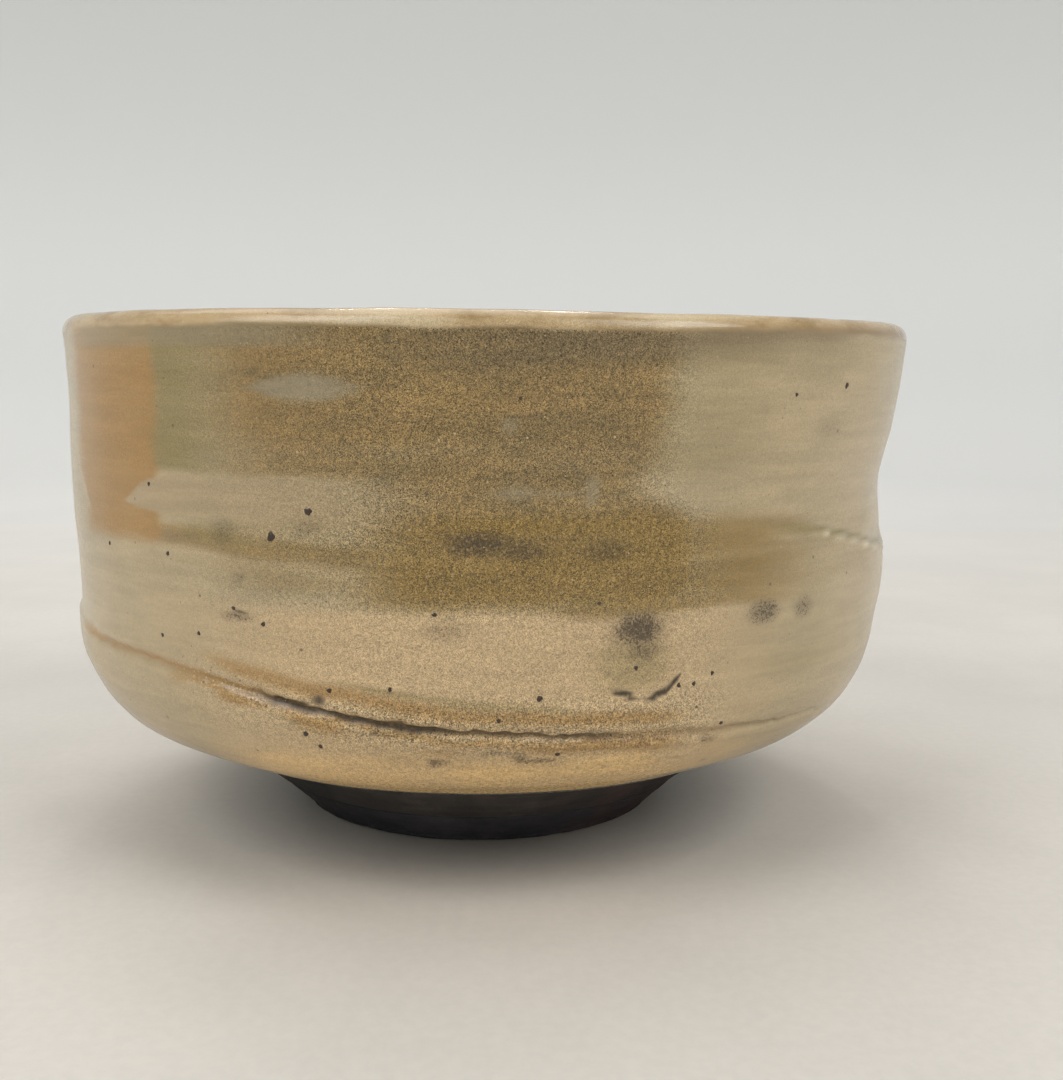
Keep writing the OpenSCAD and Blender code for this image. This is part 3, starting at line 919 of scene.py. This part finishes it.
def grain_dome(rng, middle, normal, radius, first):
    """Points and faces of one melted grain: a low, uneven dome on a sunk rim."""
    sides = 18
    across = unit(np.cross(normal, [0.3, 0.2, 1.0]))
    up = np.cross(normal, across)
    waves = [(k, rng.uniform(0.08, 0.26) / k**0.5, rng.uniform(0, 6.28)) for k in (2, 3, 5)]
    turn = np.arange(sides) * 2 * math.pi / sides
    edge = radius * (1 + sum(size * np.sin(k * turn + start) for k, size, start in waves))
    points, faces = [], []
    for share, height in ((0.9, -0.2), (1.0, -0.01), (0.86, 0.045), (0.6, 0.085), (0.3, 0.1)):
        for t, r in zip(turn, edge * share):
            points.append(middle + across * r * math.cos(t) + up * r * math.sin(t) + normal * height)
    points += [middle + normal * 0.105, middle - normal * 0.2]
    top, bottom = first + 5 * sides, first + 5 * sides + 1
    for k in range(sides):
        j = (k + 1) % sides
        for row in range(4):
            low, high = first + row * sides, first + (row + 1) * sides
            faces.append((low + k, low + j, high + j, high + k))
        faces.append((first + 4 * sides + k, first + 4 * sides + j, top))
        faces.append((first + j, first + k, bottom))
    return points, faces


def specks_piece(surface):
    """The grains of iron, where the CAD has them, standing on the finished surface."""
    rng = np.random.default_rng(7)
    grid = surface.points[:surface.band_row].reshape(-1, 3)
    normals = surface.normals[:surface.band_row].reshape(-1, 3)
    points, faces = [], []
    for middle, reach in cad_grains():
        nearest = np.argmin(np.linalg.norm(grid - middle, axis=1))
        place = middle + normals[nearest] * ((grid[nearest] - middle) @ normals[nearest])
        new_points, new_faces = grain_dome(rng, place, normals[nearest], reach * 0.7, len(points))
        points += new_points
        faces += new_faces
    mesh = bpy.data.meshes.new("iron_specks")
    mesh.from_pydata((np.array(points) * MM).tolist(), [], faces)
    mesh.polygons.foreach_set("use_smooth", [True] * len(mesh.polygons))
    piece = bpy.data.objects.new("iron_specks", mesh)
    bpy.context.scene.collection.objects.link(piece)
    return piece


# ---------------------------------------------------------------- materials
class Shader:
    """Short ways to add and join the nodes of one material."""

    def __init__(self, name):
        self.material = bpy.data.materials.new(name)
        self.material.use_nodes = True
        self.tree = self.material.node_tree
        self.tree.nodes.clear()
        self.surface = self.tree.nodes.new("ShaderNodeBsdfPrincipled")
        output = self.tree.nodes.new("ShaderNodeOutputMaterial")
        self.tree.links.new(self.surface.outputs["BSDF"], output.inputs["Surface"])
        self.place = self.tree.nodes.new("ShaderNodeTexCoord").outputs["Object"]

    def put(self, value, socket):
        if isinstance(value, bpy.types.NodeSocket):
            self.tree.links.new(value, socket)
        elif isinstance(value, tuple) and len(value) == 3 and socket.type == "RGBA":
            socket.default_value = (*value, 1)
        else:
            socket.default_value = value

    def set(self, **values):
        """Inputs of the main shader, with _ for a space in their names."""
        for name, value in values.items():
            self.put(value, self.surface.inputs[name.replace("_", " ")])

    def math(self, operation, a, b=0.5, c=0.5):
        node = self.tree.nodes.new("ShaderNodeMath")
        node.operation = operation
        for k, value in enumerate((a, b, c)):
            self.put(value, node.inputs[k])
        return node.outputs[0]

    def times(self, a, b):
        return self.math("MULTIPLY", a, b)

    def times_plus(self, a, b, c):
        """a * b + c"""
        return self.math("MULTIPLY_ADD", a, b, c)

    def scaled_place(self, scale):
        node = self.tree.nodes.new("ShaderNodeVectorMath")
        node.operation = "MULTIPLY"
        self.put(self.place, node.inputs[0])
        node.inputs[1].default_value = scale
        return node.outputs[0]

    def noise(self, size, detail=2.0, roughness=0.5, stretch=1.0, shift=0.0):
        """Noise whose lumps are size mm tall, and stretch times as long round the bowl."""
        node = self.tree.nodes.new("ShaderNodeTexNoise")
        node.noise_dimensions = "4D"
        self.put(self.scaled_place((1 / stretch, 1 / stretch, 1)), node.inputs["Vector"])
        node.inputs["W"].default_value = shift
        node.inputs["Scale"].default_value = 1 / (size * MM)
        node.inputs["Detail"].default_value = detail
        node.inputs["Roughness"].default_value = roughness
        return node.outputs[0]

    def fade(self, value, low, high, to_low=0.0, to_high=1.0):
        node = self.tree.nodes.new("ShaderNodeMapRange")
        node.interpolation_type = "SMOOTHSTEP"
        for k, item in enumerate((value, low, high, to_low, to_high)):
            self.put(item, node.inputs[k])
        return node.outputs[0]

    def dots(self, cell, radius, chance):
        """Round specks of about radius mm, one in each cell of a lattice that wins the draw."""
        node = self.tree.nodes.new("ShaderNodeTexVoronoi")
        self.put(self.place, node.inputs["Vector"])
        node.inputs["Scale"].default_value = 1 / (cell * MM)
        split = self.tree.nodes.new("ShaderNodeSeparateColor")
        self.put(node.outputs["Color"], split.inputs[0])
        inside = self.fade(node.outputs["Distance"], radius / cell, 0.6 * radius / cell)
        drawn = self.math("GREATER_THAN", split.outputs[0], 1 - chance)
        return self.times(inside, drawn)

    def mask(self, name):
        node = self.tree.nodes.new("ShaderNodeAttribute")
        node.attribute_name = name
        return node.outputs["Fac"]

    def broken(self, name, grain, amount, low=0.35, high=0.65):
        """A mask whose edge is broken up by a grain."""
        shifted = self.times_plus(grain, amount, -amount / 2)
        return self.fade(self.math("ADD", self.mask(name), shifted), low, high)

    def mix(self, a, b, factor, blend="MIX"):
        node = self.tree.nodes.new("ShaderNodeMix")
        node.data_type = "RGBA"
        node.blend_type = blend
        self.put(factor, node.inputs[0])
        self.put(a, node.inputs[6])
        self.put(b, node.inputs[7])
        return node.outputs[2]

    def grey(self, value):
        """A colour with the same number in each channel."""
        node = self.tree.nodes.new("ShaderNodeCombineColor")
        for k in range(3):
            self.put(value, node.inputs[k])
        return node.outputs[0]

    def shade(self, colour, value):
        """The colour times a value near 1."""
        return self.mix(colour, self.grey(value), 1.0, "MULTIPLY")

    def bump(self, height, distance, strength=1.0, under=None):
        """Bump from a height of 0 to 1 that stands for distance mm."""
        node = self.tree.nodes.new("ShaderNodeBump")
        node.inputs["Strength"].default_value = strength
        node.inputs["Distance"].default_value = distance * MM
        self.put(height, node.inputs["Height"])
        if under is not None:
            self.put(under, node.inputs["Normal"])
        return node.outputs[0]


BEIGE = (0.535, 0.420, 0.250)
BEIGE_COOL = (0.470, 0.375, 0.225)
ROSE = (0.620, 0.445, 0.248)
OCHRE = (0.325, 0.210, 0.080)
OCHRE_WARM = (0.380, 0.238, 0.092)
OCHRE_DARK = (0.240, 0.165, 0.068)
GOLD = (0.298, 0.184, 0.044)
ORANGE = (0.430, 0.252, 0.088)
# Far lighter than the other tones: low on the front it also stands for painted bounce light.
AMBER_AND_BOUNCE_LIGHT = (0.850, 0.570, 0.250)
OLIVE = (0.290, 0.225, 0.086)
DUSK = (0.190, 0.138, 0.072)
PALE = (0.530, 0.418, 0.262)
PATCH = (0.480, 0.365, 0.220)
# Also the colour of the painted reflection under the lip.
FILM_AND_REFLECTION = (0.345, 0.286, 0.180)
# Painted highlight along the ridge's top.
RIDGE_HIGHLIGHT = (0.750, 0.640, 0.430)
SMOKE = (0.062, 0.044, 0.025)
GROOVE_BROWN = (0.175, 0.115, 0.062)
EDGE_GREY = (0.145, 0.160, 0.148)
RIM_TAN = (0.550, 0.400, 0.220)
RIM_BROWN = (0.310, 0.205, 0.100)
RIM_DARK = (0.400, 0.275, 0.130)
RIM_PALE = (0.620, 0.490, 0.300)
IRON = (0.045, 0.030, 0.020)
RUST = (0.130, 0.075, 0.040)
SAND = (0.800, 0.650, 0.420)
WARM_SAND = (0.800, 0.560, 0.290)
GRAIN_COOL = (0.62, 0.70, 0.74)

# Bare clay: its dark, light and toasted tones
BEVEL_CLAY = ((0.031, 0.027, 0.025), (0.062, 0.052, 0.046), (0.070, 0.040, 0.033))
FOOT_CLAY = ((0.026, 0.026, 0.034), (0.052, 0.049, 0.056), (0.070, 0.038, 0.035))


def glaze_tones(shader, grain, streak):
    """The glaze's colour before its fine grain, from the masks on the mesh, with the painted light and
    shade that some masks carry.
    """
    cloud = shader.noise(9, 3, 0.55, 1.8)
    drift = shader.noise(3.2, 4, 0.65, 2.4, 12.0)
    feather = shader.times_plus(grain, 0.4, shader.times(streak, 0.6))
    colour = shader.mix(BEIGE, BEIGE_COOL, shader.fade(cloud, 0.35, 0.65))
    colour = shader.mix(colour, ROSE, shader.mask("rosy"))
    colour = shader.mix(colour, PALE, shader.broken("pale", feather, 0.5, 0.05, 1.0))
    ochre = shader.mix(OCHRE, OCHRE_WARM, shader.fade(drift, 0.5, 0.7))
    ochre = shader.mix(ochre, OCHRE_DARK, shader.fade(drift, 0.48, 0.3))
    ochre = shader.mix(ochre, OCHRE_DARK, shader.fade(streak, 0.45, 0.75, 0, 0.7))
    ochre = shader.mix(ochre, GOLD, shader.times(shader.mask("gold"), 0.95))
    colour = shader.mix(colour, ochre, shader.broken("ochre", feather, 0.8, 0.1, 0.95))
    # Low on the front the first of these is also painted bounce light, and dusk is painted shade on the
    # lower left flank.
    over = [("amber_and_bounce_light", AMBER_AND_BOUNCE_LIGHT, 1.0), ("orange", ORANGE, 1.0), ("olive", OLIVE, 1.1), ("dusk", DUSK, 1.1)]
    for name, tone, full in over:
        colour = shader.mix(colour, tone, shader.broken(name, feather, 0.5, 0.1, full))
    colour = shader.mix(colour, PATCH, shader.broken("patch", feather, 0.4, 0.05, 0.95))
    # Also lays the painted reflection under the lip.
    colour = shader.mix(colour, FILM_AND_REFLECTION, shader.mask("film_and_reflection"))
    # Painted highlight along the ridge's top.
    colour = shader.mix(colour, RIDGE_HIGHLIGHT, shader.mask("ridge_highlight"))
    rim = shader.mix(RIM_TAN, RIM_DARK, shader.fade(drift, 0.42, 0.62))
    rim = shader.mix(rim, RIM_PALE, shader.fade(streak, 0.52, 0.7))
    rim = shader.mix(rim, RIM_BROWN, shader.times(shader.mask("brown_rim"), 0.85))
    colour = shader.mix(colour, rim, shader.broken("rim", streak, 0.5, 0.1, 0.95))
    return shader.mix(colour, EDGE_GREY, shader.broken("edge", grain, 0.4, 0.1, 0.65))


def glaze_marks(shader, colour, sand, grain):
    """Smudges of fine dots, dark strokes and the dark floor of the groove."""
    dots = shader.noise(0.19, 2, 0.65, 1.0, 3.0)
    threshold = shader.times_plus(shader.mask("smoke"), -0.24, 0.66)
    inside = shader.fade(shader.math("SUBTRACT", dots, threshold), -0.06, 0.08)
    present = shader.fade(shader.mask("smoke"), 0.06, 0.3)
    haze = shader.times(shader.mask("smoke"), 0.6)
    colour = shader.mix(colour, SMOKE, haze)
    dotted = shader.times(inside, present)
    colour = shader.mix(colour, SMOKE, shader.times(dotted, 0.8))
    colour = shader.mix(colour, SMOKE, shader.broken("stroke", sand, 0.8, 0.3, 0.9))
    ragged = shader.times_plus(grain, 0.5, shader.times(sand, 0.5))
    floor = shader.mix(SMOKE, GROOVE_BROWN, shader.fade(grain, 0.45, 0.62))
    return shader.mix(colour, floor, shader.broken("groove", ragged, 1.1, 0.25, 0.85))


def glaze_grains(shader, colour):
    """Single grains in the glaze: pale sand, and iron that bled through."""
    sandy, grit = shader.mask("sandy"), shader.mask("grit")
    pale = shader.math("MAXIMUM", shader.dots(0.8, 0.10, 0.20), shader.dots(1.9, 0.17, 0.12))
    pale = shader.times(pale, shader.times_plus(sandy, 0.5, 0.12))
    gritty = shader.times(shader.dots(0.50, 0.18, 0.55), shader.times(grit, 0.9))
    colour = shader.mix(colour, SAND, pale)
    clear = shader.times_plus(shader.mask("groove"), -2.0, 1.0)
    colour = shader.mix(colour, WARM_SAND, shader.times(gritty, clear))
    dark = shader.math("MAXIMUM", shader.dots(1.2, 0.12, 0.22), shader.dots(3.0, 0.26, 0.16))
    dark = shader.times(dark, shader.times_plus(sandy, 0.5, 0.4))
    pits = shader.times(shader.dots(0.62, 0.16, 0.30), shader.times(grit, 0.8))
    return shader.mix(colour, IRON, shader.math("MAXIMUM", dark, pits))


def sandy_grain(shader, colour, grain, sand, grain_depth):
    """The sand under the glaze, which makes it lighter, darker and cooler from grain to grain."""
    covered = shader.times_plus(shader.mask("film_and_reflection"), -0.8, 1.0)
    depth = shader.times(shader.times(shader.mask("sandy"), grain_depth), covered)
    lumps = shader.times_plus(shader.fade(grain, 0.3, 0.7, -0.25, 0.25), depth, 1.0)
    colour = shader.shade(colour, lumps)
    cool = shader.fade(shader.noise(0.2, 2, 0.6, 1.0, 15.0), 0.35, 0.65)
    colour = shader.mix(colour, GRAIN_COOL, shader.times(cool, depth), "MULTIPLY")
    grains = shader.times_plus(shader.fade(sand, 0.27, 0.73, -1.15, 1.3), depth, 1.0)
    return shader.shade(colour, grains)


def glaze_material(name, roughness, grain_depth):
    """Ash glaze over sandy clay: broken tones, sand grain, streaks and specks of iron, with some painted
    light and shade among the tones.
    """
    shader = Shader(name)
    grain = shader.noise(0.55, 3, 0.65)
    sand = shader.noise(0.11, 2, 0.6, 1.0, 5.0)
    streak = shader.noise(1.3, 4, 0.6, 9.0, 2.0)
    wide_streak = shader.noise(2.4, 4, 0.55, 9.0, 8.0)
    colour = glaze_tones(shader, grain, wide_streak)
    colour = shader.shade(colour, shader.fade(streak, 0.3, 0.7, 0.93, 1.07))
    colour = sandy_grain(shader, colour, grain, sand, grain_depth)
    colour = glaze_marks(shader, colour, sand, grain)
    shader.set(Base_Color=glaze_grains(shader, colour))
    dry = shader.times(shader.fade(grain, 0.3, 0.7, 0.06, 0.20), shader.mask("sandy"))
    dry = shader.times(dry, shader.times_plus(shader.mask("rim"), -0.9, 1.0))
    shader.set(Roughness=shader.math("ADD", dry, roughness))
    rough_skin = shader.times(sand, shader.mask("sandy"))
    fine = shader.bump(rough_skin, 0.035, 0.7)
    shader.set(Normal=shader.bump(shader.noise(1.1, 3, 0.6), 0.04, 0.5, fine))
    return shader.material


def clay_material(name, dark, light, toasted):
    """Bare fired clay: dry, sandy and toasted on the right, with painted shade that makes it darker
    towards both sides.
    """
    shader = Shader(name)
    sand = shader.noise(0.3, 3, 0.7)
    cloud = shader.noise(7, 4, 0.6)
    lines = shader.noise(0.7, 2, 0.5, 14.0)
    colour = shader.mix(dark, light, shader.fade(cloud, 0.4, 0.75))
    split = shader.tree.nodes.new("ShaderNodeSeparateXYZ")
    shader.put(shader.place, split.inputs[0])
    right = shader.fade(split.outputs[0], 0.004, 0.022)
    burnt = shader.times(right, shader.fade(cloud, 0.3, 0.6))
    colour = shader.mix(colour, toasted, burnt)
    # Painted shade: darker the farther the clay is from the middle in x.
    side_shade = shader.fade(shader.math("ABSOLUTE", split.outputs[0]), 0.007, 0.028, 1.30, 0.32)
    colour = shader.shade(colour, side_shade)
    colour = shader.shade(colour, shader.fade(sand, 0.3, 0.7, 0.6, 1.45))
    colour = shader.shade(colour, shader.fade(lines, 0.3, 0.7, 0.85, 1.15))
    colour = shader.mix(colour, tuple(min(1, 2.2 * c) for c in light), shader.dots(0.9, 0.12, 0.15))
    shader.set(Base_Color=colour)
    shader.set(Roughness=shader.fade(sand, 0.3, 0.7, 0.62, 0.85))
    shader.set(Normal=shader.bump(sand, 0.08, 0.8, shader.bump(lines, 0.05, 0.6)))
    return shader.material


def speck_material():
    shader = Shader("melted_iron")
    patches = shader.noise(0.25, 3, 0.6)
    shader.set(Base_Color=shader.mix(IRON, RUST, shader.fade(patches, 0.5, 0.75)))
    shader.set(Roughness=shader.fade(patches, 0.3, 0.7, 0.35, 0.6))
    shader.set(Normal=shader.bump(patches, 0.03, 0.5))
    return shader.material


# ---------------------------------------------------------------- camera, stage and light
CAMERA_SPOT = Vector((WHEEL_X * MM, -0.19895, 0.06337))
CAMERA_YAW = math.radians(2.22)      # turned to the right
CAMERA_PITCH = math.radians(7.31)    # looking down
CAMERA_ROLL = math.radians(0.326)
CAMERA_LENS = 43.98

FLOOR_R = 0.62          # metres, like the rest of the stage
COVE_R = 0.25
WALL_H = 1.0

TABLE = (0.740, 0.700, 0.640)
TABLE_CLOUD = (0.690, 0.655, 0.600)
# The table's far tone is painted light, and the wall's nearer tone painted shade.
TABLE_FAR = (0.880, 0.870, 0.840)
WALL_BEHIND = (0.500, 0.500, 0.490)     # the side of the wall that is nearer than the bowl
WALL_AHEAD = (0.840, 0.845, 0.825)


def make_camera():
    ahead = Vector((math.sin(CAMERA_YAW) * math.cos(CAMERA_PITCH),
                    math.cos(CAMERA_YAW) * math.cos(CAMERA_PITCH), -math.sin(CAMERA_PITCH)))
    level = Vector((math.cos(CAMERA_YAW), -math.sin(CAMERA_YAW), 0))
    up = level.cross(ahead)
    right = level * math.cos(CAMERA_ROLL) + up * math.sin(CAMERA_ROLL)
    up = up * math.cos(CAMERA_ROLL) - level * math.sin(CAMERA_ROLL)
    data = bpy.data.cameras.new("camera")
    data.lens = CAMERA_LENS
    data.clip_start, data.clip_end = 0.01, 10
    camera = bpy.data.objects.new("camera", data)
    camera.matrix_world = Matrix.Translation(CAMERA_SPOT) @ Matrix(
        [[right[k], up[k], -ahead[k]] for k in range(3)]).to_4x4()
    bpy.context.scene.collection.objects.link(camera)
    bpy.context.scene.camera = camera


def stage_material():
    shader = Shader("pale_table")
    cloud = shader.noise(60, 4, 0.6)
    fine = shader.noise(1.5, 3, 0.6)
    colour = shader.mix(TABLE, TABLE_CLOUD, shader.fade(cloud, 0.35, 0.65))
    colour = shader.shade(colour, shader.fade(fine, 0.3, 0.7, 0.97, 1.02))
    split = shader.tree.nodes.new("ShaderNodeSeparateXYZ")
    shader.put(shader.place, split.inputs[0])
    depth, height = split.outputs[1], split.outputs[2]
    # Painted light and shade: the table lighter far back, the wall darker towards the camera and towards
    # its top.
    colour = shader.mix(colour, TABLE_FAR, shader.fade(depth, 0.1, 0.6))
    wall = shader.mix(WALL_BEHIND, WALL_AHEAD, shader.fade(depth, -0.7, 0.5))
    wall = shader.shade(wall, shader.fade(height, 0.10, 0.38, 1.0, 0.84))
    colour = shader.mix(colour, wall, shader.fade(height, 0.0, 0.08))
    shader.set(Base_Color=colour)
    shader.set(Roughness=shader.fade(fine, 0.3, 0.7, 0.5, 0.62))
    return shader.material


def make_stage():
    """A round pale floor that sweeps up into a wall, open at the top."""
    sides = 96
    profile = [(0.001, 0)] + [(FLOOR_R * t, 0) for t in (0.2, 0.5, 1)]
    for turn in np.radians(np.linspace(-90, 0, 17)[1:]):
        profile.append((FLOOR_R + COVE_R * math.cos(turn), COVE_R + COVE_R * math.sin(turn)))
    profile.append((FLOOR_R + COVE_R, WALL_H))
    angle = np.arange(sides) * 2 * math.pi / sides
    rows = [
        np.stack([r * np.cos(angle), r * np.sin(angle), np.full(sides, z)], axis=-1)
        for r, z in profile
    ]
    quads = grid_faces(len(rows), sides, False)[:, ::-1]
    fans = [(np.zeros(3), np.arange(sides), True)]
    floor = make_mesh("pale_floor", np.stack(rows) / MM, quads, None, fans)
    floor.data.materials.append(stage_material())


def area_light(name, spot, target, size, power):
    data = bpy.data.lights.new(name, "AREA")
    data.shape = "RECTANGLE"
    data.size, data.size_y = size
    data.energy = power
    light = bpy.data.objects.new(name, data)
    light.location = spot
    light.rotation_mode = "QUATERNION"
    light.rotation_quaternion = (Vector(target) - Vector(spot)).to_track_quat("-Z", "Y")
    bpy.context.scene.collection.objects.link(light)


def make_light():
    world = bpy.data.worlds.new("room")
    world.use_nodes = True
    world.node_tree.nodes["Background"].inputs[0].default_value = (0.93, 0.96, 1.0, 1)
    world.node_tree.nodes["Background"].inputs[1].default_value = 0.25
    bpy.context.scene.world = world
    area_light("overhead", (-0.10, 0.25, 0.79), (0, 0, 0.03), (0.8, 0.8), 2.9)
    area_light("left", (-0.44, -0.34, 0.52), (0, 0, 0.03), (0.4, 0.4), 1.95)
    area_light("right", (0.44, -0.36, 0.54), (0, 0, 0.03), (0.4, 0.4), 2.1)
    area_light("backdrop", (0, 0.30, 0.80), (0, 0.85, 0.12), (0.8, 0.3), 0.2)
    for name, x in (("strip_left", -0.116), ("strip_right", 0.080)):
        area_light(name, (x, 0.46, 0.60), (0, -0.06, 0.07), (0.035, 0.03), 0.16)
    bpy.context.scene.view_settings.view_transform = "Standard"


# ---------------------------------------------------------------- put together
def finish_piece(piece, material, node, slot):
    piece.data.materials.append(material)
    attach(piece, "root")
    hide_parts(node)


def build_bowl():
    surface = FinishedSurface()
    glazes = [
        ("glaze_outside", 0, surface.band_row, "outer_glaze", 0.20, 0.76),
        ("glaze_lip", surface.band_row, surface.lip_row, "lip_glaze", 0.11, 0.22),
        ("glaze_inside", surface.lip_row, surface.last_row, "inner_glaze", 0.18, 0.45),
    ]
    for name, first, last, node, roughness, grain in glazes:
        material = glaze_material(name + "_finish", roughness, grain)
        finish_piece(coat(surface, name, first, last), material, node, node)
    finish_piece(clay_piece(surface), clay_material("bare_clay", *BEVEL_CLAY), "clay_body", "bare_clay")
    finish_piece(foot_piece(), clay_material("foot_clay", *FOOT_CLAY), "foot_ring", "foot_clay")
    finish_piece(specks_piece(surface), speck_material(), "iron_spots", "iron_spots")


make_camera()
make_stage()
make_light()
build_bowl()
